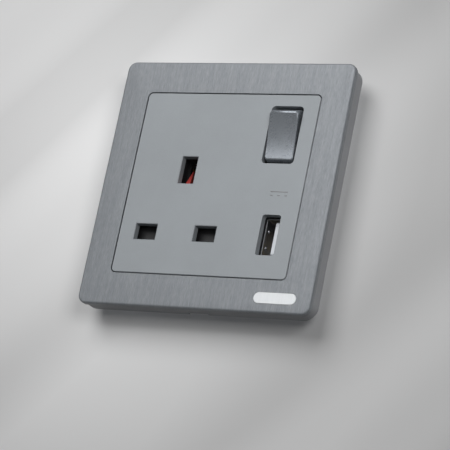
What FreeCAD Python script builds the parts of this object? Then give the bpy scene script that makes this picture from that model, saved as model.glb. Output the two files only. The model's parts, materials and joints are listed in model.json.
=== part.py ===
"""A single 13 A switched socket outlet with one USB charging port.

Sizes are millimetres. X points right and Z up, seen from the front. The wall lies in the plane y = 0,
with the room at negative y and the wall box at positive y. The origin is the centre of the plate.
"""

import FreeCAD
import Part
import math
import os

# Driving sizes of the front
BORDER_SIDE = 10.25
BORDER_END = 11.1
FRAME_DEPTH = 6.3
FASCIA_THICK = 2.0
FASCIA_CORNER_R = 3.0
FASCIA_EDGE_R = 0.7
CARRIER_CORNER_R = 4.6
CARRIER_WALL = 1.8
CARRIER_FACE_THICK = 1.2
CARRIER_RIB_W = 8.0
PANEL_THICK = 2.5
PANEL_CORNER_R = 1.5
PANEL_SKIRT = 1.3
PANEL_INNER_R = 0.4
SEAM = 0.35

# Blank badge and pry notch of the surround
BADGE_W = 15.4
BADGE_H = 3.9
BADGE_FROM_RIGHT = 13.0
BADGE_FROM_BOTTOM = 5.0
BADGE_RECESS = 0.8
BADGE_PROUD = 0.1
BADGE_END_FLAT = 0.02
PRY_NOTCH_W = 7.2
PRY_NOTCH_DEPTH = 1.4
PRY_NOTCH_X = 0.6

# Pin layout: the two line pins lie below the earth pin at the standard spacing
PIN_PITCH = 22.23
EARTH_FROM_LEFT = 20.9
LINE_FROM_BOTTOM = 14.42
LINE_PIN_W = 6.4
LINE_PIN_H = 4.0
LINE_PIN_REACH = 17.7
EARTH_PIN_W = 4.0
EARTH_PIN_H = 8.0
EARTH_PIN_REACH = 22.7
LINE_SLOT_SIDE_CLEAR = 0.85
EARTH_SLOT_SIDE_CLEAR = 0.9
SLOT_END_CLEAR = 0.75
SLOT_CHAMFER = 0.2
PASSAGE_CLEAR = 0.4

# Rocker switch
ROCKER_FROM_EARTH = 32.57
ROCKER_FROM_RIGHT = 11.33
ROCKER_RISE = 13.47
ROCKER_FROM_TOP = 13.98
ROCKER_W = 10.4
ROCKER_R = 9.55
ROCKER_PIVOT_DEPTH = 4.0
ROCKER_FACE_FROM_PIVOT = 5.27
ROCKER_DISH = 0.4
ROCKER_TILT = 9.5
ROCKER_EDGE = 0.6
ROCKER_FACE_EDGE = 0.25
ROCKER_BACK = 1.5
ROCKER_SIDE_GAP = 0.7
ROCKER_END_GAP = 0.6
ROCKER_HOLE_LOWER = 0.2
ROCKER_HOLE_R = 1.4
ROCKER_STUB_R = 1.3
ROCKER_STUB_LENGTH = 1.1
ROCKER_POST_R = 2.6
ROCKER_POST_LENGTH = 5.0
PLUNGER_R = 1.6
PLUNGER_REACH = 11.2
PLUNGER_SPRING_SEAT = 1.0
PLUNGER_TRAVEL = 0.8
PLUNGER_SPRING_WIRE = 0.4
PLUNGER_SPRING_TURNS = 5

# Rocking contact below the rocker
SEESAW_TILT = 6.0
SEESAW_THICK = 0.8
SEESAW_W = 6.0
SEESAW_UP = 8.0
SEESAW_DOWN = 6.0
SEESAW_CLEAR = 0.2
CONTACT_TIP_R = 1.5
CONTACT_TIP_HEIGHT = 0.7
CONTACT_TIP_FROM_PIVOT = 6.2
CONTACT_TIP_GAP = 0.08
KNIFE_R = 0.5
KNIFE_CLEAR = 0.1
KNIFE_HEIGHT = 4.3

# Charging port
USB_FROM_ROCKER = 2.0
USB_ABOVE_LINE = 0.53
USB_HOLE_SIDE_GAP = 0.54
USB_HOLE_END_GAP = 0.45
USB_HOLE_R = 0.9
USB_SHELL_W = 5.72
USB_SHELL_H = 13.1
USB_SHELL_WALL = 0.3
USB_SHELL_LENGTH = 14.2
USB_SHELL_FRONT = 2.9
USB_TONGUE_THICK = 1.84
USB_TONGUE_H = 11.1
USB_TONGUE_FRONT = 3.5
USB_TONGUE_SIDE = 0.52
USB_TONGUE_CHAMFER = 0.25
USB_BLOCK_LENGTH = 3.0
USB_CONTACT_THICK = 0.15
USB_CONTACT_W = 1.0
USB_CONTACT_STEP = 2.5
USB_CONTACT_MIDDLE_STEP = 2.0
USB_CONTACT_FRONT = 1.0
USB_CONTACT_SETBACK = 1.0
USB_DIMPLE_SPACING = 5.7
USB_DIMPLE_DEPTH = 5.2
USB_DIMPLE_R = 0.9
USB_DIMPLE_SUNK = 0.45

# Charger board and what it carries, measured from the port and the board's edges
BOARD_THICK = 1.6
BOARD_LEFT = 8.6
BOARD_RIGHT = 5.6
BOARD_BELOW = 10.5
BOARD_ABOVE = 8.9
BOARD_POST_R = 1.2
BOARD_POST_SIDE = 3.0
BOARD_POST_LOW = 2.0
CORE_W = 9.0
CORE_H = 8.0
CORE_DEPTH = 5.0
CORE_WALL = 1.0
CORE_LEG = 1.2
WINDING_W = 4.6
WINDING_H = 9.6
CORE_INSET = 5.5
CAN_R = 2.4
CAN_LENGTH = 8.0
CAN_EDGE = 0.4
CAN_SIDE = 2.5
CAN_LOW = 6.5

# Metal yoke that screws to the wall box
YOKE_INSET = 4.0
YOKE_THICK = 1.2
YOKE_CORNER_R = 3.0
FIXING_PITCH = 60.3
FIXING_HOLE_R = 1.9
FIXING_SLOT = 7.0
EAR_Z = 20.0
EAR_W = 8.0
EAR_CLEAR = 0.1

# Front and rear mouldings of the socket body
SKIRT_CLEAR = 0.5
BODY_CORNER_R = 3.0
BODY_WALL = 1.4
BODY_FLOOR = 1.6
REAR_CLEAR = 0.7
LUG_ROOM = 4.55
LUG_H = 12.4
FRONT_BLOCK_REAR = 1.4
PANEL_GAP = 0.2
SHUTTER_FLOOR_DEPTH = 6.2
BARRIER_THICK = 1.0

# Clearances
CLEAR = 0.3
PLUG_CLEAR = 0.2
RUNNING = 0.05

# Shutter
SHUTTER_TRAVEL = 6.2
BLADE_THICK = 1.4
BLADE_TOP = 3.5
BLADE_H = 6.9
BLADE_OVERLAP = 0.8
HUB_W = 10.0
HUB_RISE = 3.0
STEM_W = 6.2
RAMP_LEFT = 1.7
RAMP_BASE_W = 1.8
RAMP_TIP_W = 0.4
RAMP_FRONT_DEPTH = 2.9
RAMP_TIP_DEPTH = 6.6
RAMP_BACK_DEPTH = 8.3
RAMP_BOTTOM = -4.4
RAMP_HEIGHT = 6.4
SHUTTER_SPRING_R = 1.25
SHUTTER_SPRING_WIRE = 0.35
SHUTTER_SPRING_TURNS = 9
SPRING_FLOOR = 2.25
SPRING_CAP = 1.1

# Contacts and terminals
STRIP = 0.8
STRIP_W = 3.0
LEAF_GRIP = 0.1
LEAF_SETBACK = 0.6
EARTH_LEAF_TRIM = 1.0
PIN_END_GAP = 0.5
TERMINAL_W = 9.0
TERMINAL_PITCH = 11.0
TERMINAL_LEFT_OF_EARTH = 7.0
TERMINAL_H = 8.0
TERMINAL_WALL = 0.8
TERMINAL_BACK_GAP = 0.1
WIRE_BORE_R = 3.0
WIRE_BORE_Y = 12.2
WIRE_BORE_LENGTH = 7.0
WIRE_HOLE_SPARE = 0.5
TERMINAL_SCREW_R = 2.0
TERMINAL_HEAD_R = 2.6
TERMINAL_HEAD = 1.4
ACCESS_CLEAR = 0.4
NEUTRAL_RISER_OFFSET = 1.9
LIVE_RISER_FROM_ROCKER = 10.07

# Long screws that hold the two mouldings together
SCREW_FROM_SIDE = 5.3
SCREW_FROM_END = 4.85
SCREW_FROM_NOTCH = 4.2
SCREW_BELOW_MIDDLE = 4.0
SCREW_RIGHT_OF_LIVE = 9.4
SCREW_R = 1.2
SCREW_HEAD_R = 2.3
SCREW_HEAD = 1.5
SCREW_BITE = 2.4
SCREW_RECESS_W = 0.8
SCREW_RECESS_SPAN = 2.8
SCREW_RECESS_DEPTH = 0.8
BOSS_R = 3.2

# Places worked out from the sizes
FRONT_Y = -FRAME_DEPTH
PANEL_BACK_Y = FRONT_Y + PANEL_THICK
YOKE_FRONT_Y = -YOKE_THICK
BLOCK_FRONT_Y = PANEL_BACK_Y + PANEL_GAP
CARRIER_FRONT_Y = FRONT_Y + FASCIA_THICK
CARRIER_FACE_BACK_Y = CARRIER_FRONT_Y + CARRIER_FACE_THICK
PANEL_W = EARTH_FROM_LEFT + ROCKER_FROM_EARTH + ROCKER_FROM_RIGHT
PANEL_H = LINE_FROM_BOTTOM + PIN_PITCH + ROCKER_RISE + ROCKER_FROM_TOP
WINDOW_W = PANEL_W + 2 * SEAM
WINDOW_H = PANEL_H + 2 * SEAM
WINDOW_R = PANEL_CORNER_R + SEAM
FRAME_W = WINDOW_W + 2 * BORDER_SIDE
FRAME_H = WINDOW_H + 2 * BORDER_END
YOKE_W = FRAME_W - 2 * YOKE_INSET
YOKE_H = FRAME_H - 2 * YOKE_INSET
BADGE_X = FRAME_W / 2 - BADGE_FROM_RIGHT
BADGE_Z = BADGE_FROM_BOTTOM - FRAME_H / 2
BODY_W = PANEL_W - 2 * (PANEL_SKIRT + SKIRT_CLEAR)
BODY_H = PANEL_H - 2 * (PANEL_SKIRT + SKIRT_CLEAR)
INNER_W = BODY_W - 2 * BODY_WALL
INNER_H = BODY_H - 2 * BODY_WALL
NECK_W = INNER_W - 2 * PLUG_CLEAR
NECK_H = INNER_H - 2 * PLUG_CLEAR
NOTCH_X = FIXING_PITCH / 2 - LUG_ROOM
EARTH_X = EARTH_FROM_LEFT - PANEL_W / 2
LINE_Z = LINE_FROM_BOTTOM - PANEL_H / 2
EARTH_Z = LINE_Z + PIN_PITCH
NEUTRAL_X = EARTH_X - PIN_PITCH / 2
LIVE_X = EARTH_X + PIN_PITCH / 2
ROCKER_X = EARTH_X + ROCKER_FROM_EARTH
ROCKER_Z = EARTH_Z + ROCKER_RISE
USB_X = ROCKER_X + USB_FROM_ROCKER
USB_Z = LINE_Z + USB_ABOVE_LINE
LINE_SLOT_W = LINE_PIN_W + 2 * LINE_SLOT_SIDE_CLEAR
LINE_SLOT_H = LINE_PIN_H + 2 * SLOT_END_CLEAR
EARTH_SLOT_W = EARTH_PIN_W + 2 * EARTH_SLOT_SIDE_CLEAR
EARTH_SLOT_H = EARTH_PIN_H + 2 * SLOT_END_CLEAR
ROCKER_HOLE_W = ROCKER_W + 2 * ROCKER_SIDE_GAP
ROCKER_HOLE_H = 2 * (ROCKER_R + ROCKER_END_GAP)
PIVOT_Y = FRONT_Y + ROCKER_PIVOT_DEPTH
PLUNGER_SPRING_LENGTH = (PLUNGER_SPRING_TURNS + 2) * PLUNGER_SPRING_WIRE + PLUNGER_TRAVEL
PLUNGER_BACK = PLUNGER_SPRING_LENGTH - PLUNGER_SPRING_SEAT
SEESAW_FRONT_Y = PIVOT_Y + PLUNGER_REACH + SEESAW_CLEAR
SEESAW_BACK_Y = SEESAW_FRONT_Y + SEESAW_THICK
USB_HOLE_W = USB_SHELL_W + 2 * USB_HOLE_SIDE_GAP
USB_HOLE_H = USB_SHELL_H + 2 * USB_HOLE_END_GAP
USB_SHELL_Y0 = FRONT_Y + USB_SHELL_FRONT
BOARD_X0 = USB_X - BOARD_LEFT
BOARD_X1 = USB_X + BOARD_RIGHT
BOARD_Y0 = USB_SHELL_Y0 + USB_SHELL_LENGTH
BOARD_Y1 = BOARD_Y0 + BOARD_THICK
BOARD_Z0 = USB_Z - BOARD_BELOW
BOARD_Z1 = USB_Z + BOARD_ABOVE
BLADE_Z1 = LINE_Z + BLADE_TOP
BLADE_Z0 = BLADE_Z1 - BLADE_H
BLADE_X0 = NEUTRAL_X - LINE_SLOT_W / 2 - BLADE_OVERLAP
BLADE_X1 = LIVE_X + LINE_SLOT_W / 2 + BLADE_OVERLAP
SHUTTER_FLOOR_Y = FRONT_Y + SHUTTER_FLOOR_DEPTH
BLADE_Y1 = SHUTTER_FLOOR_Y - CLEAR
BLADE_Y0 = BLADE_Y1 - BLADE_THICK
HUB_Y0 = PANEL_BACK_Y + CLEAR
HUB_TOP = BLADE_Z1 + HUB_RISE
RAMP_Z0 = EARTH_Z + RAMP_BOTTOM
SHUTTER_SPRING_LOW = SPRING_FLOOR - BODY_H / 2
SHUTTER_SPRING_TOP = HUB_TOP - SPRING_CAP
SHUTTER_SPRING_Y = HUB_Y0 + SHUTTER_SPRING_R
LEAF_START = FRONT_BLOCK_REAR + LEAF_SETBACK
LINE_WEB_Y = FRONT_Y + LINE_PIN_REACH + PIN_END_GAP
EARTH_WEB_Y = FRONT_Y + EARTH_PIN_REACH + PIN_END_GAP
FEED_WEB_Y = SEESAW_BACK_Y + KNIFE_HEIGHT
CHARGER_BACK_Y = BOARD_Y1 + max(CORE_DEPTH, 2 * CAN_R)
REAR_INNER_Y = max(EARTH_WEB_Y + STRIP, CHARGER_BACK_Y, FEED_WEB_Y + STRIP) + REAR_CLEAR
BODY_DEPTH = REAR_INNER_Y + BODY_FLOOR
TERMINAL_X = tuple(EARTH_X - TERMINAL_LEFT_OF_EARTH + i * TERMINAL_PITCH for i in range(3))
TERMINAL_Y0 = WIRE_BORE_Y - WIRE_BORE_R - TERMINAL_WALL
TERMINAL_Y1 = REAR_INNER_Y - TERMINAL_BACK_GAP
TERMINAL_MIDDLE = ROCKER_Z
TERMINAL_LOW = TERMINAL_MIDDLE - TERMINAL_H / 2
TERMINAL_TOP = TERMINAL_MIDDLE + TERMINAL_H / 2
NEUTRAL_RISER_X = TERMINAL_X[0] + NEUTRAL_RISER_OFFSET
LIVE_RISER_X = ROCKER_X - LIVE_RISER_FROM_ROCKER
SCREW_SPOTS = (
    (SCREW_FROM_SIDE - BODY_W / 2, BODY_H / 2 - SCREW_FROM_END),
    (NOTCH_X - SCREW_FROM_NOTCH, 0.0),
    (SCREW_FROM_NOTCH - NOTCH_X, -SCREW_BELOW_MIDDLE),
    (LIVE_X + SCREW_RIGHT_OF_LIVE, SCREW_FROM_END - BODY_H / 2),
)

# Flats in one turn of a spring and round its wire
COIL_STEPS = 8
COIL_SIDES = 4

# How far a cutting shape reaches past what it cuts, and a joining one into what it joins
OVERSHOOT = 1.0
BITE = 0.1

# Differences below this count as none when edges are picked
NEAR = 1e-3


def point(x, y, z):
    return FreeCAD.Vector(x, y, z)


def box(x0, x1, y0, y1, z0, z1):
    """A block between two opposite corners."""
    return Part.makeBox(x1 - x0, y1 - y0, z1 - z0, point(x0, y0, z0))


def block(cx, cz, width, height, y0, y1):
    """A block centred on a line along Y."""
    return box(cx - width / 2, cx + width / 2, y0, y1, cz - height / 2, cz + height / 2)


def rod_y(cx, cz, radius, y0, y1):
    """A round bar along Y."""
    return Part.makeCylinder(radius, y1 - y0, point(cx, y0, cz), point(0, 1, 0))


def rod_x(cy, cz, radius, x0, x1):
    """A round bar along X."""
    return Part.makeCylinder(radius, x1 - x0, point(x0, cy, cz), point(1, 0, 0))


def rod_z(cx, cy, radius, z0, z1):
    """A round bar along Z."""
    return Part.makeCylinder(radius, z1 - z0, point(cx, cy, z0), point(0, 0, 1))


def slab(width, height, radius, y0, y1, cx=0.0, cz=0.0):
    """A plate with rounded corners, as thick as y0 to y1."""
    plate = block(cx, cz, width, height, y0, y1)
    corners = [e for e in plate.Edges if abs(e.tangentAt(e.FirstParameter).y) > 1 - NEAR]
    return plate.makeFillet(radius, corners)


def edges_at_y(shape, y):
    """The edges that lie in one plane across Y."""
    found = []
    for edge in shape.Edges:
        bounds = edge.BoundBox
        if abs(bounds.YMin - y) < NEAR and abs(bounds.YMax - y) < NEAR:
            found.append(edge)
    return found


def notched(width, height, notch_x, y0, y1):
    """The socket body's outline, set back on both sides to clear the fixing screws."""
    plate = slab(width, height, BODY_CORNER_R, y0, y1)
    setback = width / 2 - notch_x
    for side in (-1, 1):
        centre = side * (notch_x + setback / 2 + OVERSHOOT / 2)
        plate = plate.cut(block(centre, 0, setback + OVERSHOOT, LUG_H, y0 - OVERSHOOT, y1 + OVERSHOOT))
    return plate


def inner_notched(width, height, notch_x, margin, y0, y1):
    """A smaller copy of the body outline whose notch is taller by a margin on each side."""
    plate = slab(width, height, BODY_CORNER_R - BODY_WALL, y0, y1)
    setback = width / 2 - notch_x
    for side in (-1, 1):
        centre = side * (notch_x + setback / 2 + OVERSHOOT / 2)
        tall = LUG_H + 2 * margin
        plate = plate.cut(block(centre, 0, setback + OVERSHOOT, tall, y0 - OVERSHOOT, y1 + OVERSHOOT))
    return plate


def chamfered_hole(cx, cz, width, height, y0, y1, chamfer):
    """A straight slot with a sloping lead-in at its front edge."""
    hole = block(cx, cz, width, height, y0 - OVERSHOOT, y1 + OVERSHOOT)
    wide = Part.makePolygon(rectangle(cx, cz, width + 2 * chamfer, height + 2 * chamfer, y0))
    narrow = Part.makePolygon(rectangle(cx, cz, width, height, y0 + chamfer))
    return hole.fuse(Part.makeLoft([wide, narrow], True, True))


def rectangle(cx, cz, width, height, y):
    """Corner points of a closed rectangle across Y."""
    corners = ((-1, -1), (1, -1), (1, 1), (-1, 1), (-1, -1))
    return [point(cx + i * width / 2, y, cz + k * height / 2) for i, k in corners]


def flat_face(corners):
    """A flat face with straight edges between corner points."""
    return Part.Face(Part.makePolygon(corners + corners[:1]))


def coil(radius, wire, turns, length):
    """A spring of a given outer radius along Z, drawn with flats, that stands on the origin."""
    rise = length - wire
    middle = radius - wire / 2
    count = turns * COIL_STEPS
    route = []
    for i in range(count + 1):
        angle = 2 * math.pi * i / COIL_STEPS
        route.append(point(middle * math.cos(angle), middle * math.sin(angle), wire / 2 + rise * i / count))
    section = []
    for i in range(COIL_SIDES):
        angle = 2 * math.pi * i / COIL_SIDES
        x = middle + wire / 2 * math.cos(angle)
        section.append(point(x, 0, wire / 2 + wire / 2 * math.sin(angle)))
    outline = Part.makePolygon(section + section[:1])
    return Part.makePolygon(route).makePipeShell([outline], True, True, 1)


def fascia_frame():
    """Brushed front of the surround."""
    plate = slab(FRAME_W, FRAME_H, FASCIA_CORNER_R, FRONT_Y, FRONT_Y + FASCIA_THICK)
    plate = plate.makeFillet(FASCIA_EDGE_R, edges_at_y(plate, FRONT_Y))
    window = slab(WINDOW_W, WINDOW_H, WINDOW_R, FRONT_Y - OVERSHOOT, 0)
    recess = badge_pill(0, FRONT_Y - OVERSHOOT)
    return plate.cut(window).cut(recess)


def badge_pill(margin, front):
    """The badge's outline, smaller by a margin, down to the bottom of its recess."""
    width = BADGE_W - 2 * margin
    height = BADGE_H - 2 * margin
    radius = (height - BADGE_END_FLAT) / 2
    return slab(width, height, radius, front, FRONT_Y + BADGE_RECESS, BADGE_X, BADGE_Z)


def badge_plate():
    """Blank metal pill in the lower right corner of the surround."""
    front = FRONT_Y - BADGE_PROUD
    pill = badge_pill(RUNNING, front)
    return pill.makeChamfer(BADGE_PROUD, edges_at_y(pill, front))


def ear_spots():
    """Places of the four snap ears."""
    return [(side, k * EAR_Z) for side in (-1, 1) for k in (-1, 1)]


def carrier_frame():
    """Moulded skirt of the surround, which snaps onto the yoke's ears."""
    body = slab(FRAME_W, FRAME_H, CARRIER_CORNER_R, CARRIER_FRONT_Y, 0)
    inside_w = FRAME_W - 2 * CARRIER_WALL
    inside_h = FRAME_H - 2 * CARRIER_WALL
    inside_r = CARRIER_CORNER_R - CARRIER_WALL
    body = body.cut(slab(inside_w, inside_h, inside_r, CARRIER_FACE_BACK_Y, OVERSHOOT))
    body = body.cut(slab(WINDOW_W, WINDOW_H, WINDOW_R, CARRIER_FRONT_Y - OVERSHOOT, OVERSHOOT))
    for side, z in ear_spots():
        outer = inside_w / 2 + CARRIER_WALL / 2
        near, far = sorted((side * YOKE_W / 2, side * outer))
        nib = box(near, far, CARRIER_FACE_BACK_Y, YOKE_FRONT_Y, z - EAR_W / 2, z + EAR_W / 2)
        body = body.fuse(nib)
    for x in (-1, 1):
        for z in (-1, 1):
            inner = WINDOW_H / 2 + CARRIER_WALL
            low, high = sorted((z * inner, z * (inner + CARRIER_WALL)))
            left = x * FRAME_W / 4 - CARRIER_RIB_W / 2
            rib = box(left, left + CARRIER_RIB_W, CARRIER_FACE_BACK_Y, YOKE_FRONT_Y, low, high)
            body = body.fuse(rib)
    lowest = -FRAME_H / 2
    notch = box(
        PRY_NOTCH_X - PRY_NOTCH_W / 2,
        PRY_NOTCH_X + PRY_NOTCH_W / 2,
        -PRY_NOTCH_DEPTH,
        OVERSHOOT,
        lowest - OVERSHOOT,
        lowest + CARRIER_WALL + OVERSHOOT,
    )
    return body.cut(notch).removeSplitter()


def front_panel():
    """Flat matte face with the pin slots, the rocker window and the port window."""
    plate = slab(PANEL_W, PANEL_H, PANEL_CORNER_R, FRONT_Y, PANEL_BACK_Y)
    plate = plate.makeChamfer(SEAM / 2, edges_at_y(plate, FRONT_Y))
    outer = slab(PANEL_W, PANEL_H, PANEL_CORNER_R, PANEL_BACK_Y, YOKE_FRONT_Y)
    inner_w = PANEL_W - 2 * PANEL_SKIRT
    inner_h = PANEL_H - 2 * PANEL_SKIRT
    skirt = outer.cut(slab(inner_w, inner_h, PANEL_INNER_R, PANEL_BACK_Y - OVERSHOOT, 0))
    skirt = skirt.cut(block(0, 0, PANEL_W + OVERSHOOT, LUG_H, PANEL_BACK_Y, 0))
    plate = plate.fuse(skirt)
    for x, z, width, height in (
        (NEUTRAL_X, LINE_Z, LINE_SLOT_W, LINE_SLOT_H),
        (LIVE_X, LINE_Z, LINE_SLOT_W, LINE_SLOT_H),
        (EARTH_X, EARTH_Z, EARTH_SLOT_W, EARTH_SLOT_H),
    ):
        plate = plate.cut(chamfered_hole(x, z, width, height, FRONT_Y, PANEL_BACK_Y, SLOT_CHAMFER))
    for x, z, width, height, radius in (
        (ROCKER_X, ROCKER_Z - ROCKER_HOLE_LOWER, ROCKER_HOLE_W, ROCKER_HOLE_H, ROCKER_HOLE_R),
        (USB_X, USB_Z, USB_HOLE_W, USB_HOLE_H, USB_HOLE_R),
    ):
        plate = plate.cut(slab(width, height, radius, FRONT_Y - OVERSHOOT, PANEL_BACK_Y + OVERSHOOT, x, z))
    return plate.removeSplitter()


def mounting_yoke():
    """Steel plate with the two fixing slots and the four snap ears."""
    plate = slab(YOKE_W, YOKE_H, YOKE_CORNER_R, YOKE_FRONT_Y, 0)
    front = YOKE_FRONT_Y - OVERSHOOT
    window = inner_notched(INNER_W, INNER_H, NOTCH_X - BODY_WALL, BODY_WALL, front, OVERSHOOT)
    plate = plate.cut(window)
    for side in (-1, 1):
        centre = side * FIXING_PITCH / 2
        straight = FIXING_SLOT - 2 * FIXING_HOLE_R
        slot = block(centre, 0, straight, 2 * FIXING_HOLE_R, front, OVERSHOOT)
        for end in (-1, 1):
            slot = slot.fuse(rod_y(centre + end * straight / 2, 0, FIXING_HOLE_R, front, OVERSHOOT))
        plate = plate.cut(slot.removeSplitter())
    for side, z in ear_spots():
        near, far = sorted((side * YOKE_W / 2, side * (YOKE_W / 2 - YOKE_THICK)))
        ear = box(near, far, CARRIER_FACE_BACK_Y + EAR_CLEAR, YOKE_FRONT_Y, z - EAR_W / 2, z + EAR_W / 2)
        plate = plate.fuse(ear)
    return plate.removeSplitter()


def shutter_pocket():
    """The room in which the shutter slides, cut from the front moulding."""
    front = BLOCK_FRONT_Y - OVERSHOOT
    low = BLADE_Z0 - SHUTTER_TRAVEL - CLEAR
    room = box(BLADE_X0 - CLEAR, BLADE_X1 + CLEAR, front, SHUTTER_FLOOR_Y, low, BLADE_Z1 + CLEAR)
    stem_half = STEM_W / 2 + CLEAR
    earth_top = EARTH_Z + EARTH_SLOT_H / 2 + CLEAR
    stem_room = box(EARTH_X - stem_half, EARTH_X + stem_half, front, SHUTTER_FLOOR_Y, BLADE_Z1, earth_top)
    room = room.fuse(stem_room)
    hub_half = HUB_W / 2 + CLEAR
    hub_top = HUB_TOP + CLEAR
    hub_room = box(EARTH_X - hub_half, EARTH_X + hub_half, front, SHUTTER_FLOOR_Y, BLADE_Z1, hub_top)
    room = room.fuse(hub_room)
    half = SHUTTER_SPRING_R + CLEAR
    room = room.fuse(box(EARTH_X - half, EARTH_X + half, front, SHUTTER_FLOOR_Y, SHUTTER_SPRING_LOW, low))
    return room.removeSplitter()


def pin_passages():
    """Holes in the floor of the front moulding, through which the pins reach the contacts."""
    y0 = SHUTTER_FLOOR_Y - OVERSHOOT
    y1 = FRONT_BLOCK_REAR + OVERSHOOT
    width = LINE_PIN_W + 2 * PASSAGE_CLEAR
    height = LINE_PIN_H + 2 * PASSAGE_CLEAR
    holes = block(NEUTRAL_X, LINE_Z, width, height, y0, y1)
    holes = holes.fuse(block(LIVE_X, LINE_Z, width, height, y0, y1))
    half = EARTH_PIN_W / 2 + PASSAGE_CLEAR
    top = EARTH_Z + EARTH_PIN_H / 2 + PASSAGE_CLEAR
    bottom = RAMP_Z0 - SHUTTER_TRAVEL - CLEAR
    return holes.fuse(box(EARTH_X - half, EARTH_X + half, y0, y1, bottom, top))


def front_moulding():
    """Dark front moulding: shutter track, rocker well with bearings, port well and screw pilots."""
    flange = notched(BODY_W, BODY_H, NOTCH_X, BLOCK_FRONT_Y, YOKE_FRONT_Y)
    step = BODY_WALL + PLUG_CLEAR
    neck = inner_notched(NECK_W, NECK_H, NOTCH_X - step, step, YOKE_FRONT_Y, FRONT_BLOCK_REAR)
    body = flange.fuse(neck)
    body = body.cut(shutter_pocket()).cut(pin_passages())
    front = BLOCK_FRONT_Y - OVERSHOOT
    rear = FRONT_BLOCK_REAR + OVERSHOOT
    well_w = ROCKER_W + 2 * CLEAR
    well_h = 2 * (ROCKER_R + 2 * CLEAR)
    body = body.cut(block(ROCKER_X, ROCKER_Z, well_w, well_h, front, rear))
    reach = ROCKER_W / 2 + ROCKER_STUB_LENGTH + CLEAR
    bearing = rod_x(PIVOT_Y, ROCKER_Z, ROCKER_STUB_R + RUNNING, ROCKER_X - reach, ROCKER_X + reach)
    width = 2 * (ROCKER_STUB_R + RUNNING)
    entry = block(ROCKER_X, ROCKER_Z, 2 * reach, width, front, PIVOT_Y)
    body = body.cut(bearing.fuse(entry).removeSplitter())
    body = body.cut(block(USB_X, USB_Z, USB_SHELL_W + 2 * CLEAR, USB_SHELL_H + 2 * CLEAR, front, rear))
    for x, z in SCREW_SPOTS:
        body = body.cut(rod_y(x, z, SCREW_R, FRONT_BLOCK_REAR - SCREW_BITE, rear))
    return body.removeSplitter()


def rear_moulding():
    """Deep rear moulding: walls, terminal barriers, screw bosses, wire windows, screwdriver holes."""
    shell = notched(BODY_W, BODY_H, NOTCH_X, 0, BODY_DEPTH)
    shell = shell.makeChamfer(BODY_WALL / 2, edges_at_y(shell, BODY_DEPTH))
    room = inner_notched(INNER_W, INNER_H, NOTCH_X - BODY_WALL, BODY_WALL, -OVERSHOOT, REAR_INNER_Y)
    shell = shell.cut(room)
    barrier_top = INNER_H / 2
    extras = []
    for left, right in zip(TERMINAL_X, TERMINAL_X[1:]):
        middle = (left + right) / 2
        near = middle - BARRIER_THICK / 2
        low = TERMINAL_LOW + CLEAR
        extras.append(box(near, near + BARRIER_THICK, LEAF_START, REAR_INNER_Y, low, barrier_top))
    wall_x = BOARD_X0 - 2 * CLEAR
    extras.append(box(wall_x - BARRIER_THICK, wall_x, BOARD_Y0, REAR_INNER_Y, -barrier_top, BOARD_Z1))
    for x, z in SCREW_SPOTS:
        extras.append(rod_y(x, z, BOSS_R, FRONT_BLOCK_REAR, REAR_INNER_Y).common(room))
    for x in (BOARD_X0 + BOARD_POST_SIDE, BOARD_X1 - BOARD_POST_SIDE):
        extras.append(rod_y(x, BOARD_Z0 + BOARD_POST_LOW, BOARD_POST_R, BOARD_Y1, REAR_INNER_Y))
    for piece in extras:
        shell = shell.fuse(piece)
    half = WIRE_BORE_R + WIRE_HOLE_SPARE
    near, far = WIRE_BORE_Y - half, WIRE_BORE_Y + half
    access_r = TERMINAL_HEAD_R + ACCESS_CLEAR
    for x in TERMINAL_X:
        window = box(x - half, x + half, near, far, barrier_top - OVERSHOOT, BODY_H / 2 + OVERSHOOT)
        shell = shell.cut(window)
        shell = shell.cut(rod_y(x, TERMINAL_MIDDLE, access_r, TERMINAL_Y1, BODY_DEPTH + OVERSHOOT))
    for x, z in SCREW_SPOTS:
        shell = shell.cut(rod_y(x, z, SCREW_R + RUNNING, 0, BODY_DEPTH + OVERSHOOT))
        head_y = BODY_DEPTH - SCREW_HEAD
        shell = shell.cut(rod_y(x, z, SCREW_HEAD_R + RUNNING, head_y, BODY_DEPTH + OVERSHOOT))
    return shell.removeSplitter()


def housing_screws():
    """Four long screws driven from the back."""
    screws = []
    for x, z in SCREW_SPOTS:
        head_y = BODY_DEPTH - SCREW_HEAD
        screw = rod_y(x, z, SCREW_R, FRONT_BLOCK_REAR - SCREW_BITE, head_y)
        head = rod_y(x, z, SCREW_HEAD_R, head_y, BODY_DEPTH)
        bottom = BODY_DEPTH - SCREW_RECESS_DEPTH
        for width, height in ((SCREW_RECESS_W, SCREW_RECESS_SPAN), (SCREW_RECESS_SPAN, SCREW_RECESS_W)):
            head = head.cut(block(x, z, width, height, bottom, BODY_DEPTH + OVERSHOOT))
        screws.append(screw.fuse(head).removeSplitter())
    return Part.makeCompound(screws)


def rocker_profile():
    """Side view of the rocker about its pivot: round ends and a dished face."""
    half = math.sqrt(ROCKER_R**2 - ROCKER_FACE_FROM_PIVOT**2)
    back = math.sqrt(ROCKER_R**2 - ROCKER_BACK**2)
    front = -ROCKER_FACE_FROM_PIVOT
    top = Part.Arc(point(0, front, half), point(0, 0, ROCKER_R), point(0, ROCKER_BACK, back))
    rear = Part.LineSegment(point(0, ROCKER_BACK, back), point(0, ROCKER_BACK, -back))
    bottom = Part.Arc(point(0, ROCKER_BACK, -back), point(0, 0, -ROCKER_R), point(0, front, -half))
    dish = Part.Arc(point(0, front, -half), point(0, front + ROCKER_DISH, 0), point(0, front, half))
    return Part.Wire([curve.toShape() for curve in (top, rear, bottom, dish)])


def set_in_switch(shape, tilt, pivot_y):
    """Turns a piece about the switch's pivot line and moves it to its place."""
    shape.rotate(point(0, 0, 0), point(1, 0, 0), tilt)
    shape.translate(point(ROCKER_X, pivot_y, ROCKER_Z))
    return shape


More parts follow.
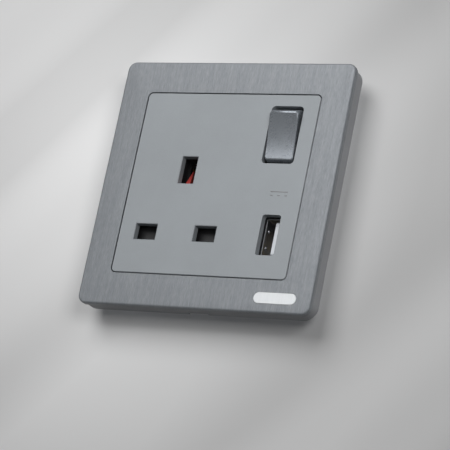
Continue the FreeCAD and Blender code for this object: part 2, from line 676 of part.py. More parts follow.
def rocker():
    """Switch rocker with its stub axles and the post that guides the plunger."""
    body = Part.Face(rocker_profile()).extrude(point(ROCKER_W, 0, 0))
    body.translate(point(-ROCKER_W / 2, 0, 0))
    side_edges = []
    for edge in body.Edges:
        middle = edge.valueAt((edge.FirstParameter + edge.LastParameter) / 2)
        if abs(math.hypot(middle.y, middle.z) - ROCKER_R) < NEAR and edge.BoundBox.XLength < NEAR:
            side_edges.append(edge)
    body = body.makeChamfer(ROCKER_EDGE, side_edges)
    dish = -ROCKER_FACE_FROM_PIVOT + ROCKER_DISH
    rim = [e for e in body.Edges if e.BoundBox.YMax < dish + NEAR]
    body = body.makeChamfer(ROCKER_FACE_EDGE, rim)
    post_end = ROCKER_BACK + ROCKER_POST_LENGTH
    body = body.fuse(rod_y(0, 0, ROCKER_POST_R, ROCKER_BACK - BITE, post_end))
    reach = ROCKER_W / 2 + ROCKER_STUB_LENGTH
    body = body.fuse(rod_x(0, 0, ROCKER_STUB_R, -reach, reach))
    body = body.cut(rod_y(0, 0, PLUNGER_R + 2 * RUNNING, -PLUNGER_SPRING_SEAT, post_end + OVERSHOOT))
    return set_in_switch(body.removeSplitter(), ROCKER_TILT, PIVOT_Y)


def rocker_plunger():
    """Round-nosed pin that the spring presses against the rocking contact."""
    straight = PLUNGER_REACH - PLUNGER_R
    pin = rod_y(0, 0, PLUNGER_R, PLUNGER_BACK, straight)
    pin = pin.fuse(Part.makeSphere(PLUNGER_R, point(0, straight, 0)))
    return set_in_switch(pin.removeSplitter(), ROCKER_TILT, PIVOT_Y)


def rocker_spring():
    """Small spring behind the plunger."""
    spring = coil(PLUNGER_R - RUNNING, PLUNGER_SPRING_WIRE, PLUNGER_SPRING_TURNS, PLUNGER_SPRING_LENGTH)
    spring.rotate(point(0, 0, 0), point(1, 0, 0), -90)
    spring.translate(point(0, -PLUNGER_SPRING_SEAT, 0))
    return set_in_switch(spring, ROCKER_TILT, PIVOT_Y)


def seesaw_contact():
    """Rocking copper strip with a groove that sits on the knife edge."""
    plate = box(-SEESAW_W / 2, SEESAW_W / 2, -SEESAW_THICK, 0, -SEESAW_DOWN, SEESAW_UP)
    plate = plate.cut(rod_x(0, 0, KNIFE_R + KNIFE_CLEAR, -SEESAW_W, SEESAW_W))
    return set_in_switch(plate, -SEESAW_TILT, SEESAW_BACK_Y)


def contact_dome(radius, height):
    """A flat-backed silver button: its base is at the origin and its crown points along +Y."""
    sphere_r = (radius**2 + height**2) / (2 * height)
    ball = Part.makeSphere(sphere_r, point(0, height - sphere_r, 0))
    return ball.common(box(-radius * 2, radius * 2, 0, height * 2, -radius * 2, radius * 2))


def moving_tip():
    """Silver tip on the rocking contact."""
    tip = contact_dome(CONTACT_TIP_R, CONTACT_TIP_HEIGHT)
    tip.translate(point(0, 0, CONTACT_TIP_FROM_PIVOT))
    return set_in_switch(tip, -SEESAW_TILT, SEESAW_BACK_Y)


def tip_crown():
    """Where the moving tip's crown lies when the switch is on."""
    angle = math.radians(SEESAW_TILT)
    y = SEESAW_BACK_Y + CONTACT_TIP_HEIGHT * math.cos(angle) + CONTACT_TIP_FROM_PIVOT * math.sin(angle)
    z = ROCKER_Z + CONTACT_TIP_FROM_PIVOT * math.cos(angle) - CONTACT_TIP_HEIGHT * math.sin(angle)
    return y, z


def fixed_tip():
    """Silver tip on the live busbar."""
    y, z = tip_crown()
    tip = contact_dome(CONTACT_TIP_R, CONTACT_TIP_HEIGHT)
    tip.rotate(point(0, 0, 0), point(0, 0, 1), 180)
    tip.translate(point(ROCKER_X, y + CONTACT_TIP_GAP + CONTACT_TIP_HEIGHT, z))
    return tip


def fixed_tip_back():
    """The plane on which the fixed tip sits."""
    return tip_crown()[0] + CONTACT_TIP_GAP + CONTACT_TIP_HEIGHT


def receptacle(cx, cz, pin_w, pin_h, web_y, upright):
    """A folded clip of two leaves joined by a web. Upright clips grip the pin from both sides."""
    grip = pin_w if upright else pin_h
    reach = (grip - LEAF_GRIP) / 2
    leaves = []
    for side in (-1, 1):
        near = side * reach
        far = side * (reach + STRIP)
        low, high = sorted((near, far))
        if upright:
            leaves.append(box(cx + low, cx + high, LEAF_START, web_y, cz - pin_h / 2, cz + pin_h / 2))
        else:
            leaves.append(box(cx - pin_w / 2, cx + pin_w / 2, LEAF_START, web_y, cz + low, cz + high))
    span = 2 * (reach + STRIP)
    if upright:
        clip = block(cx, cz, span, pin_h, web_y, web_y + STRIP)
    else:
        clip = block(cx, cz, pin_w, span, web_y, web_y + STRIP)
    for leaf in leaves:
        clip = clip.fuse(leaf)
    return clip


def riser(x, z0, z1, y):
    """A flat strip along Z."""
    return box(x - STRIP_W / 2, x + STRIP_W / 2, y, y + STRIP, z0, z1)


def neutral_contact():
    """Neutral clip with its strip up to the neutral terminal."""
    clip = receptacle(NEUTRAL_X, LINE_Z, LINE_PIN_W, LINE_PIN_H, LINE_WEB_Y, False)
    low = LINE_Z - STRIP_W / 2
    link = box(NEUTRAL_X, NEUTRAL_RISER_X, LINE_WEB_Y, LINE_WEB_Y + STRIP, low, low + STRIP_W)
    up = riser(NEUTRAL_RISER_X, low, TERMINAL_LOW, LINE_WEB_Y)
    return clip.fuse(link).fuse(up).removeSplitter()


def earth_contact():
    """Earth clip with its strip up to the earth terminal."""
    clip = receptacle(EARTH_X, EARTH_Z, EARTH_PIN_W, EARTH_PIN_H - EARTH_LEAF_TRIM, EARTH_WEB_Y, True)
    return clip.fuse(riser(EARTH_X, EARTH_Z, TERMINAL_LOW, EARTH_WEB_Y)).removeSplitter()


def live_contact():
    """Live clip with its strip up to the switch's fixed tip."""
    y = fixed_tip_back()
    clip = receptacle(LIVE_X, LINE_Z, LINE_PIN_W, LINE_PIN_H, y, False)
    low = LINE_Z - STRIP_W / 2
    link = box(LIVE_X, LIVE_RISER_X + STRIP_W / 2, y, y + STRIP, low, low + STRIP_W)
    high = tip_crown()[1] + STRIP_W / 2
    up = riser(LIVE_RISER_X, low, high, y)
    left = LIVE_RISER_X - STRIP_W / 2
    across = box(left, ROCKER_X + STRIP_W / 2, y, y + STRIP, high - STRIP_W, high)
    return clip.fuse(link).fuse(up).fuse(across).removeSplitter()


def knife_post():
    """Feed strip from the live terminal with the knife edge that carries the rocking contact."""
    foot = box(
        TERMINAL_X[2] + TERMINAL_W / 2,
        ROCKER_X + SEESAW_W / 2,
        FEED_WEB_Y,
        FEED_WEB_Y + STRIP,
        ROCKER_Z - STRIP_W / 2,
        ROCKER_Z + STRIP_W / 2,
    )
    half = SEESAW_W / 2
    blade = block(ROCKER_X, ROCKER_Z, SEESAW_W, STRIP, SEESAW_BACK_Y, FEED_WEB_Y)
    edge = rod_x(SEESAW_BACK_Y, ROCKER_Z, KNIFE_R, ROCKER_X - half, ROCKER_X + half)
    return foot.fuse(blade).fuse(edge).removeSplitter()


def terminal(index):
    """Brass terminal block: a wire bore from above and a screw from the back."""
    x = TERMINAL_X[index]
    body = block(x, TERMINAL_MIDDLE, TERMINAL_W, TERMINAL_H, TERMINAL_Y0, TERMINAL_Y1)
    bottom = TERMINAL_TOP - WIRE_BORE_LENGTH
    body = body.cut(rod_z(x, WIRE_BORE_Y, WIRE_BORE_R, bottom, TERMINAL_TOP + OVERSHOOT))
    return body.cut(rod_y(x, TERMINAL_MIDDLE, TERMINAL_SCREW_R, WIRE_BORE_Y, TERMINAL_Y1 + OVERSHOOT))


def terminal_screws():
    """Three slotted clamp screws, backed off as supplied."""
    point_y = WIRE_BORE_Y + WIRE_BORE_R + CLEAR
    head_top = TERMINAL_Y1 + TERMINAL_HEAD
    slot_bottom = head_top - SCREW_RECESS_DEPTH
    slot_length = 2 * (TERMINAL_HEAD_R + OVERSHOOT)
    screws = []
    for x in TERMINAL_X:
        shank = rod_y(x, TERMINAL_MIDDLE, TERMINAL_SCREW_R, point_y, TERMINAL_Y1)
        head = rod_y(x, TERMINAL_MIDDLE, TERMINAL_HEAD_R, TERMINAL_Y1, head_top)
        slot = block(x, TERMINAL_MIDDLE, SCREW_RECESS_W, slot_length, slot_bottom, head_top + OVERSHOOT)
        head = head.cut(slot)
        screws.append(shank.fuse(head).removeSplitter())
    return Part.makeCompound(screws)


def shutter_slide():
    """Black slide: a blade behind each line slot, a hub that holds the spring, and a stem."""
    blade = box(BLADE_X0, BLADE_X1, BLADE_Y0, BLADE_Y1, BLADE_Z0, BLADE_Z1)
    half = HUB_W / 2
    hub = box(EARTH_X - half, EARTH_X + half, HUB_Y0, BLADE_Y1, BLADE_Z0, HUB_TOP)
    stem = box(EARTH_X - STEM_W / 2, EARTH_X + STEM_W / 2, BLADE_Y0, BLADE_Y1, BLADE_Z1, RAMP_Z0)
    slide = blade.fuse(hub).fuse(stem)
    wide = SHUTTER_SPRING_R + CLEAR
    floor = BLADE_Z0 - OVERSHOOT
    rear = SHUTTER_SPRING_Y + wide
    channel = box(EARTH_X - wide, EARTH_X + wide, HUB_Y0 - OVERSHOOT, rear, floor, SHUTTER_SPRING_TOP)
    return slide.cut(channel).removeSplitter()


def shutter_ramp():
    """Red wedge that the earth pin pushes down; it narrows towards its left edge as it rises."""
    left = EARTH_X - RAMP_LEFT
    back = FRONT_Y + RAMP_BACK_DEPTH
    levels = (
        (RAMP_BASE_W, FRONT_Y + RAMP_FRONT_DEPTH, RAMP_Z0),
        (RAMP_TIP_W, FRONT_Y + RAMP_TIP_DEPTH, RAMP_Z0 + RAMP_HEIGHT),
    )
    rings = []
    for width, front, z in levels:
        outline = [(left, front), (left + width, front), (left + width, back), (left, back)]
        rings.append([point(x, y, z) for x, y in outline])
    low, high = rings
    faces = [flat_face(low), flat_face(high)]
    for i in range(len(low)):
        j = (i + 1) % len(low)
        faces.append(flat_face([low[i], low[j], high[j]]))
        faces.append(flat_face([low[i], high[j], high[i]]))
    return Part.makeSolid(Part.makeShell(faces)).removeSplitter()


def shutter_spring():
    """Return spring of the shutter."""
    length = SHUTTER_SPRING_TOP - SHUTTER_SPRING_LOW
    spring = coil(SHUTTER_SPRING_R, SHUTTER_SPRING_WIRE, SHUTTER_SPRING_TURNS, length)
    spring.translate(point(EARTH_X, SHUTTER_SPRING_Y, SHUTTER_SPRING_LOW))
    return spring


def usb_shell():
    """Folded steel shell of the port with two pressed spring dimples."""
    y0 = USB_SHELL_Y0
    y1 = BOARD_Y0
    shell = slab(USB_SHELL_W, USB_SHELL_H, 2 * USB_SHELL_WALL, y0, y1, USB_X, USB_Z)
    hollow_w = USB_SHELL_W - 2 * USB_SHELL_WALL
    hollow_h = USB_SHELL_H - 2 * USB_SHELL_WALL
    front = y0 - OVERSHOOT
    shell = shell.cut(slab(hollow_w, hollow_h, USB_SHELL_WALL, front, y1 + OVERSHOOT, USB_X, USB_Z))
    inner_x = USB_X - hollow_w / 2
    for k in (-1, 1):
        z = USB_Z + k * USB_DIMPLE_SPACING / 2
        centre = point(inner_x - USB_DIMPLE_SUNK, FRONT_Y + USB_DIMPLE_DEPTH, z)
        dimple = Part.makeSphere(USB_DIMPLE_R, centre)
        keep = block(USB_X, USB_Z, USB_SHELL_W, USB_SHELL_H, y0, y1)
        shell = shell.fuse(dimple.common(keep))
    return shell.removeSplitter()


def tongue_span():
    """Lowest and highest x of the tongue, which lies nearer one side of the shell."""
    right = USB_X + USB_SHELL_W / 2 - USB_SHELL_WALL - USB_TONGUE_SIDE
    return right - USB_TONGUE_THICK, right


def usb_tongue():
    """White insulator that carries the port's contacts."""
    x0, x1 = tongue_span()
    half = USB_TONGUE_H / 2
    front = FRONT_Y + USB_TONGUE_FRONT
    tongue = box(x0, x1, front, BOARD_Y0, USB_Z - half, USB_Z + half)
    tongue = tongue.makeChamfer(USB_TONGUE_CHAMFER, edges_at_y(tongue, front))
    gap = 2 * RUNNING
    rear = block(
        USB_X,
        USB_Z,
        USB_SHELL_W - 2 * (USB_SHELL_WALL + gap),
        USB_SHELL_H - 2 * (USB_SHELL_WALL + gap),
        BOARD_Y0 - USB_BLOCK_LENGTH,
        BOARD_Y0,
    )
    return tongue.fuse(rear).removeSplitter()


def usb_contacts():
    """Four gold strips on the tongue, the outer pair longer."""
    x0 = tongue_span()[0]
    outer = USB_CONTACT_MIDDLE_STEP / 2 + USB_CONTACT_STEP
    inner = USB_CONTACT_MIDDLE_STEP / 2
    strips = []
    x = x0 - USB_CONTACT_THICK / 2
    long_start = FRONT_Y + USB_TONGUE_FRONT + USB_CONTACT_FRONT
    short_start = long_start + USB_CONTACT_SETBACK
    rear = BOARD_Y0 - USB_BLOCK_LENGTH
    for distance, start in ((outer, long_start), (inner, short_start)):
        for z in (USB_Z - distance, USB_Z + distance):
            strips.append(block(x, z, USB_CONTACT_THICK, USB_CONTACT_W, start, rear))
    return Part.makeCompound(strips)


def charger_board():
    """Small circuit board that carries the port and the converter."""
    return box(BOARD_X0, BOARD_X1, BOARD_Y0, BOARD_Y1, BOARD_Z0, BOARD_Z1)


def converter_transformer():
    """Ferrite transformer on the back of the board."""
    x = BOARD_X0 + CORE_INSET
    z = BOARD_Z1 - CORE_INSET
    near = BOARD_Y1 + CORE_WALL
    far = BOARD_Y1 + CORE_DEPTH - CORE_WALL
    core = block(x, z, CORE_W, CORE_H, BOARD_Y1, BOARD_Y1 + CORE_DEPTH)
    core = core.cut(block(x, z, CORE_W - 2 * CORE_LEG, CORE_H + OVERSHOOT, near, far))
    winding = block(x, z, WINDING_W, WINDING_H, near, far)
    return core.fuse(winding).removeSplitter()


def smoothing_capacitor():
    """Round capacitor that lies on the back of the board."""
    left = BOARD_X0 + CAN_SIDE
    can = rod_x(BOARD_Y1 + CAN_R, BOARD_Z0 + CAN_LOW, CAN_R, left, left + CAN_LENGTH)
    rims = [e for e in can.Edges if e.BoundBox.XLength < NEAR]
    return can.makeChamfer(CAN_EDGE, rims)


def main():
    os.makedirs("parts", exist_ok=True)
    nodes = {
        "fascia_frame": fascia_frame(),
        "carrier_frame": carrier_frame(),
        "badge_plate": badge_plate(),
        "front_panel": front_panel(),
        "mounting_yoke": mounting_yoke(),
        "front_moulding": front_moulding(),
        "rear_moulding": rear_moulding(),
        "housing_screws": housing_screws(),
        "rocker": rocker(),
        "rocker_plunger": rocker_plunger(),
        "rocker_spring": rocker_spring(),
        "seesaw_contact": seesaw_contact(),
        "moving_tip": moving_tip(),
        "fixed_tip": fixed_tip(),
        "knife_post": knife_post(),
        "neutral_contact": neutral_contact(),
        "earth_contact": earth_contact(),
        "live_contact": live_contact(),
        "neutral_terminal": terminal(0),
        "earth_terminal": terminal(1),
        "live_terminal": terminal(2),
        "terminal_screws": terminal_screws(),
        "shutter_slide": shutter_slide(),
        "shutter_ramp": shutter_ramp(),
        "shutter_spring": shutter_spring(),
        "usb_shell": usb_shell(),
        "usb_tongue": usb_tongue(),
        "usb_contacts": usb_contacts(),
        "charger_board": charger_board(),
        "converter_transformer": converter_transformer(),
        "smoothing_capacitor": smoothing_capacitor(),
    }
    for name, shape in nodes.items():
        shape.exportStep(f"parts/{name}.step")


main()
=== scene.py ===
import json
import math

import bmesh
import bpy
from mathutils import Matrix, Vector


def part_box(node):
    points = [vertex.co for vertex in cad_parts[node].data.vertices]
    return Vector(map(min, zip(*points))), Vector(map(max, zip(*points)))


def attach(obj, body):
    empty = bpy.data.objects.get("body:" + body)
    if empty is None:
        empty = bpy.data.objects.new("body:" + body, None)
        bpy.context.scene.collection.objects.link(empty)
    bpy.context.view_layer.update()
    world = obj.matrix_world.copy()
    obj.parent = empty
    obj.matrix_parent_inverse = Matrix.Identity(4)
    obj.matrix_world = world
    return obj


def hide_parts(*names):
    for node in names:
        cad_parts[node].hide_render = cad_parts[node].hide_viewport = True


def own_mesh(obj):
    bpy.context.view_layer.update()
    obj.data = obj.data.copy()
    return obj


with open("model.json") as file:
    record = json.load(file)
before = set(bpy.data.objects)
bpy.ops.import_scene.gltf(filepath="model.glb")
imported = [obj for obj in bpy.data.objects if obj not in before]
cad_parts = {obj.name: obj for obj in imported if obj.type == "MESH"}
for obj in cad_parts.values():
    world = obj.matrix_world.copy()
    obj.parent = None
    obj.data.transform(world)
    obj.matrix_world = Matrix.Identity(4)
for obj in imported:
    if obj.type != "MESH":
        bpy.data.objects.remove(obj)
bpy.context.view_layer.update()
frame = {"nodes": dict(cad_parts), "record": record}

MM = 0.001

# Camera of the photograph: a long lens below the plate and to its right
CAMERA_AT = (0.41634, -0.72977, -0.26861)
CAMERA_AIM = (0.00665, -0.0063, -0.01427)
CAMERA_ROLL = math.radians(-11.697)
CAMERA_LENS = 212.784
SENSOR_WIDTH = 36.0
CAMERA_CLIP = (0.01, 20.0)

# Paint and plastic colours as seen, in display values from 0 to 255
FASCIA_DARK = (112, 116, 121)
FASCIA_LIGHT = (146, 150, 154)
SURROUND_GREY = (142, 144, 148)
PANEL_GREY = (152, 157, 161)
ROCKER_GREY = (141, 146, 152)
BADGE_PALE = (217, 220, 222)
BADGE_CONTRAST = 0.015
INK_GREY = (138, 137, 137)
BLACK = (24, 24, 26)
BACK_BLACK = (34, 35, 37)
RAMP_RED = (170, 62, 58)
TONGUE_WHITE = (232, 236, 241)
PLUNGER_IVORY = (222, 217, 203)
BOARD_GREEN = (28, 92, 52)
FERRITE_GREY = (62, 61, 62)
SLEEVE_BLUE = (28, 34, 78)
ZINC = (196, 199, 203)
BRASS = (206, 172, 104)
COPPER = (198, 138, 100)
SILVER = (226, 226, 222)
GOLD = (224, 190, 112)
PORT_STEEL = (168, 169, 172)
SPRING_STEEL = (176, 177, 180)

# Grain, brush lines and gloss, as repeats to the metre and shares of tone
MOULD_GRAIN = 5200.0
MOULD_DRIFT = 42.0
GRAIN_SHARE = 0.35
GRAIN_STRENGTH = 0.6
BRUSH_FINENESS = 5200.0
BRUSH_LENGTH = 95.0
BRUSH_BAND_SCALE = 0.19
LINE_SHARE = 0.75
LINE_STRENGTH = 0.5
METAL_FINENESS = 3600.0
METAL_LENGTH = 220.0
METAL_GLOSS_RANGE = 0.12
NOISE_MIDDLE = (0.3, 0.7)
BAND_MIDDLE = (0.32, 0.68)

# Edges of the solids: triangles are joined, and split again where they meet at more than this
WELD_DISTANCE = 0.001 * MM
SHARP_ANGLE = math.radians(28)

# Line over dashes printed above the port
MARK_LEFT = 20.9 * MM
MARK_RIGHT = 27.1 * MM
MARK_TOP = -2.0 * MM
MARK_ROW_GAP = 1.3 * MM
MARK_LINE = 0.26 * MM
MARK_DASHES = 3
MARK_DASH = 0.95 * MM
INK_THICK = 0.015 * MM

# Springs, drawn round over their solids, with the sizes of the part's source
SPRING_RING_SIDES = 12
SPRING_TURN_STEPS = 28
ROCKER_SPRING_TURNS = 5
ROCKER_SPRING_WIRE = 0.4 * MM
ROCKER_SPRING_RADIUS = 1.55 * MM
ROCKER_SPRING_LENGTH = 3.6 * MM
ROCKER_TILT = math.radians(9.5)
SHUTTER_SPRING_TURNS = 9
SHUTTER_SPRING_WIRE = 0.35 * MM

# Pale wall a little behind the plate's rear rim, and a floor far below
WALL_Y = 6 * MM
WALL_HALF = 0.9
FLOOR_Z = -0.42
FLOOR_HALF = 1.6
WALL_SEEN = 0.74
WALL_LIT = 0.1

# Painted light on the wall: slanting bands of painted light and shade, and a painted glow of light that
# fades away from its centre
STREAK_TURN = math.radians(-48)
STREAK_SIZE = (0.5, 0.5, 0.055)
STREAK_MIDDLE = (0.38, 0.62)
STREAK_SOFTNESS = 0.4
STREAK_DARK = 0.87
STREAK_LIGHT = 1.09
GLOW_CENTRE = (-0.055, 0, 0.02)
GLOW_REACH = 0.125
GLOW_NEAR = 1.33
GLOW_FAR = 0.74

# Lamps as place, size and power, all aimed at the plate, and a dim sky
LAMP_AIM = (0, 0, 0)
LAMPS = {
    "key": ((-0.25, -1.0, 0.62), 0.8, 9.0),
    "fill": ((0.68, -0.83, 0.1), 0.4, 3.6),
    "below": ((0.1, -0.5, -0.75), 0.5, 0.3),
    "rear": ((0.0, 1.0, 0.12), 0.9, 6.5),
}
SKY_COLOUR = (0.8, 0.81, 0.82, 1)
SKY_STRENGTH = 0.22


def linear(colour):
    """A display colour as the linear values that a shader takes."""
    values = []
    for part in colour:
        share = part / 255
        values.append(share / 12.92 if share <= 0.04045 else ((share + 0.055) / 1.055) ** 2.4)
    return (*values, 1.0)


def new_group(name, inputs, outputs):
    """An empty shader group with float inputs and named outputs, and its two end nodes."""
    group = bpy.data.node_groups.new(name, "ShaderNodeTree")
    for label, default in inputs:
        socket = group.interface.new_socket(label, in_out="INPUT", socket_type="NodeSocketFloat")
        socket.default_value = default
    for label in outputs:
        group.interface.new_socket(label, in_out="OUTPUT", socket_type="NodeSocketFloat")
    return group, group.nodes.new("NodeGroupInput"), group.nodes.new("NodeGroupOutput")


def noise(tree, vector, scale, detail, roughness):
    """A noise node that reads a vector."""
    node = tree.nodes.new("ShaderNodeTexNoise")
    node.inputs["Scale"].default_value = scale
    node.inputs["Detail"].default_value = detail
    node.inputs["Roughness"].default_value = roughness
    tree.links.new(vector, node.inputs["Vector"])
    return node.outputs["Fac"]


def spread(tree, value, middle, start=0.0, end=1.0):
    """Stretches the middle of a value over a whole range, from start to end."""
    node = tree.nodes.new("ShaderNodeMapRange")
    node.inputs["From Min"].default_value = middle[0]
    node.inputs["From Max"].default_value = middle[1]
    node.inputs["To Min"].default_value = start
    node.inputs["To Max"].default_value = end
    tree.links.new(value, node.inputs["Value"])
    return node.outputs["Result"]


def math_node(tree, operation, first, second):
    """One sum or product of two sockets, or of a socket and a number."""
    node = tree.nodes.new("ShaderNodeMath")
    node.operation = operation
    for socket, value in zip(node.inputs, (first, second)):
        if isinstance(value, (int, float)):
            socket.default_value = value
        else:
            tree.links.new(value, socket)
    return node.outputs[0]


def weighted(tree, first, second, share):
    """Two values added up, the first by its share and the second by the rest."""
    kept = math_node(tree, "MULTIPLY", first, share)
    return math_node(tree, "ADD", kept, math_node(tree, "MULTIPLY", second, 1 - share))


def brushed_group():
    """Fine brush lines along Z with wider bands behind them."""
    inputs = (("Fineness", BRUSH_FINENESS), ("Length", BRUSH_LENGTH))
    group, start, end = new_group("brush_lines", inputs, ("Lines", "Bands"))
    place = group.nodes.new("ShaderNodeTexCoord")
    stretch = group.nodes.new("ShaderNodeCombineXYZ")
    for axis, label in zip(stretch.inputs, ("Fineness", "Fineness", "Length")):
        group.links.new(start.outputs[label], axis)
    scaled = group.nodes.new("ShaderNodeVectorMath")
    scaled.operation = "MULTIPLY"
    group.links.new(place.outputs["Object"], scaled.inputs[0])
    group.links.new(stretch.outputs[0], scaled.inputs[1])
    fine = noise(group, scaled.outputs[0], 1.0, 3.0, 0.65)
    wide = noise(group, scaled.outputs[0], BRUSH_BAND_SCALE, 2.0, 0.5)
    group.links.new(spread(group, fine, NOISE_MIDDLE), end.inputs["Lines"])
    group.links.new(spread(group, wide, BAND_MIDDLE), end.inputs["Bands"])
    return group


def grain_group():
    """Fine spark-eroded grain of a moulding, with a slow drift of tone."""
    inputs = (("Grain Scale", MOULD_GRAIN), ("Drift Scale", MOULD_DRIFT))
    group, start, end = new_group("mould_grain", inputs, ("Grain", "Drift"))
    place = group.nodes.new("ShaderNodeTexCoord")
    for label, out, detail in (("Grain Scale", "Grain", 3.0), ("Drift Scale", "Drift", 4.0)):
        scaled = group.nodes.new("ShaderNodeVectorMath")
        scaled.operation = "SCALE"
        group.links.new(place.outputs["Object"], scaled.inputs[0])
        group.links.new(start.outputs[label], scaled.inputs["Scale"])
        value = noise(group, scaled.outputs[0], 1.0, detail, 0.55)
        group.links.new(spread(group, value, NOISE_MIDDLE), end.inputs[out])
    return group


BRUSH = brushed_group()
GRAIN = grain_group()


def place_group(tree, group, **values):
    """Puts a shared group into a material with its own values."""
    node = tree.nodes.new("ShaderNodeGroup")
    node.node_tree = group
    for label, value in values.items():
        node.inputs[label.replace("_", " ")].default_value = value
    return node


def colour_mix(tree, factor, first, second):
    """A colour between two, chosen by a factor that changes over the surface."""
    node = tree.nodes.new("ShaderNodeMix")
    node.data_type = "RGBA"
    node.inputs[6].default_value = linear(first)
    node.inputs[7].default_value = linear(second)
    tree.links.new(factor, node.inputs["Factor"])
    return node.outputs[2]


def shaded(colour, amount):
    """The same colour, lighter or darker."""
    return tuple(min(255, max(0, part * amount)) for part in colour)


def new_material(name, metallic):
    """A material with one Principled shader."""
    material = bpy.data.materials.new(name)
    material.use_nodes = True
    shader = material.node_tree.nodes["Principled BSDF"]
    shader.inputs["Metallic"].default_value = metallic
    return material, material.node_tree, shader


def add_bump(tree, shader, height, distance, strength):
    """Feeds a height into the shader's normal."""
    bump = tree.nodes.new("ShaderNodeBump")
    bump.inputs["Distance"].default_value = distance
    bump.inputs["Strength"].default_value = strength
    tree.links.new(height, bump.inputs["Height"])
    tree.links.new(bump.outputs["Normal"], shader.inputs["Normal"])


def vary_gloss(tree, shader, factor, start, end):
    """Roughness between two values, by a factor that changes over the surface."""
    rough = tree.nodes.new("ShaderNodeMapRange")
    rough.inputs["To Min"].default_value = start
    rough.inputs["To Max"].default_value = end
    tree.links.new(factor, rough.inputs["Value"])
    tree.links.new(rough.outputs["Result"], shader.inputs["Roughness"])


def moulded(
    name, colour, low_rough, high_rough, relief=0.012 * MM, contrast=0.05, metallic=0.0, grain=MOULD_GRAIN
):
    """Moulded or painted plastic: fine grain, slight drift of tone and gloss."""
    material, tree, shader = new_material(name, metallic)
    texture = place_group(tree, GRAIN, Grain_Scale=grain)
    mixed = weighted(tree, texture.outputs["Grain"], texture.outputs["Drift"], GRAIN_SHARE)
    paint = colour_mix(tree, mixed, shaded(colour, 1 - contrast), shaded(colour, 1 + contrast))
    tree.links.new(paint, shader.inputs["Base Color"])
    vary_gloss(tree, shader, mixed, low_rough, high_rough)
    add_bump(tree, shader, texture.outputs["Grain"], relief, GRAIN_STRENGTH)
    return material


def brushed(name, dark, light, low_rough, high_rough, metallic, fineness, length, relief=0.01 * MM):
    """Brushed metal or brushed foil: colour, gloss and height all follow the lines."""
    material, tree, shader = new_material(name, metallic)
    texture = place_group(tree, BRUSH, Fineness=fineness, Length=length)
    mixed = weighted(tree, texture.outputs["Lines"], texture.outputs["Bands"], LINE_SHARE)
    tree.links.new(colour_mix(tree, mixed, dark, light), shader.inputs["Base Color"])
    vary_gloss(tree, shader, mixed, high_rough, low_rough)
    add_bump(tree, shader, texture.outputs["Lines"], relief, LINE_STRENGTH)
    return material


def metal(name, colour, rough, contrast=0.08):
    """Plated or stamped metal with faint rolling marks and stains."""
    dark = shaded(colour, 1 - contrast)
    light = shaded(colour, 1 + contrast)
    dull = rough + METAL_GLOSS_RANGE
    return brushed(name, dark, light, rough, dull, 1.0, METAL_FINENESS, METAL_LENGTH)


def finishes():
    """Every material of the socket, by the slot that the record names."""
    badge_dark = shaded(BADGE_PALE, 1 - BADGE_CONTRAST)
    badge_light = shaded(BADGE_PALE, 1 + BADGE_CONTRAST)
    return {
        "fascia": brushed("brushed_grey_fascia", FASCIA_DARK, FASCIA_LIGHT, 0.38, 0.52, 0.25, 7000, 420),
        "surround": moulded("grey_surround", SURROUND_GREY, 0.42, 0.52),
        "badge": brushed("satin_badge", badge_dark, badge_light, 0.3, 0.4, 0.2, 3200, 200),
        "panel": moulded(
            "matte_silver_panel", PANEL_GREY, 0.46, 0.56, contrast=0.045, metallic=0.1, grain=3200.0
        ),
        "rocker": moulded("satin_silver_rocker", ROCKER_GREY, 0.24, 0.3, contrast=0.02, metallic=0.6),
        "zinc_steel": metal("zinc_plated_steel", ZINC, 0.34),
        "black_plastic": moulded("black_moulding", BLACK, 0.45, 0.58, contrast=0.12),
        "back_plastic": moulded(
            "rear_black_moulding", BACK_BLACK, 0.42, 0.56, relief=0.02 * MM, contrast=0.12, grain=3800.0
        ),
        "plunger_plastic": moulded("ivory_plunger", PLUNGER_IVORY, 0.35, 0.45),
        "spring_steel": metal("drawn_spring_wire", SPRING_STEEL, 0.24),
        "copper": metal("stamped_copper", COPPER, 0.3),
        "silver": metal("silver_tip", SILVER, 0.2),
        "brass": metal("stamped_brass", BRASS, 0.28),
        "red_plastic": moulded("red_shutter_plastic", RAMP_RED, 0.3, 0.4, contrast=0.08),
        "port_steel": metal("nickel_port_shell", PORT_STEEL, 0.26),
        "white_plastic": moulded("white_port_tongue", TONGUE_WHITE, 0.36, 0.44, contrast=0.02),
        "gold": metal("gold_contact", GOLD, 0.22),
        "board": moulded("green_board_mask", BOARD_GREEN, 0.28, 0.4, contrast=0.1),
        "ferrite": moulded("sintered_core", FERRITE_GREY, 0.6, 0.75, relief=0.03 * MM, contrast=0.15),
        "capacitor": moulded("capacitor_sleeve", SLEEVE_BLUE, 0.22, 0.3, contrast=0.06),
    }


MATERIALS = finishes()
INK = moulded("printed_mark", INK_GREY, 0.5, 0.6, contrast=0.03)


def dress_cad_nodes():
    """Gives each solid its finish, smooth on its curves and sharp at its edges."""
    for part in frame["record"]["subparts"]:
        node = frame["nodes"][part["node"]]
        node.data.materials.clear()
        node.data.materials.append(MATERIALS[part["material_slot"]])
        for face in node.data.polygons:
            face.use_smooth = True
        weld = node.modifiers.new("join_triangles", "WELD")
        weld.merge_threshold = WELD_DISTANCE
        split = node.modifiers.new("sharp_edges", "EDGE_SPLIT")
        split.split_angle = SHARP_ANGLE


def finish_piece(name, bm, body, material):
    """Makes an object of a bmesh, in place, riding on a body."""
    mesh = bpy.data.meshes.new(name)
    bm.to_mesh(mesh)
    bm.free()
    for face in mesh.polygons:
        face.use_smooth = True
    mesh.materials.append(material)
    piece = bpy.data.objects.new(name, mesh)
    bpy.context.scene.collection.objects.link(piece)
    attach(piece, body)
    return piece


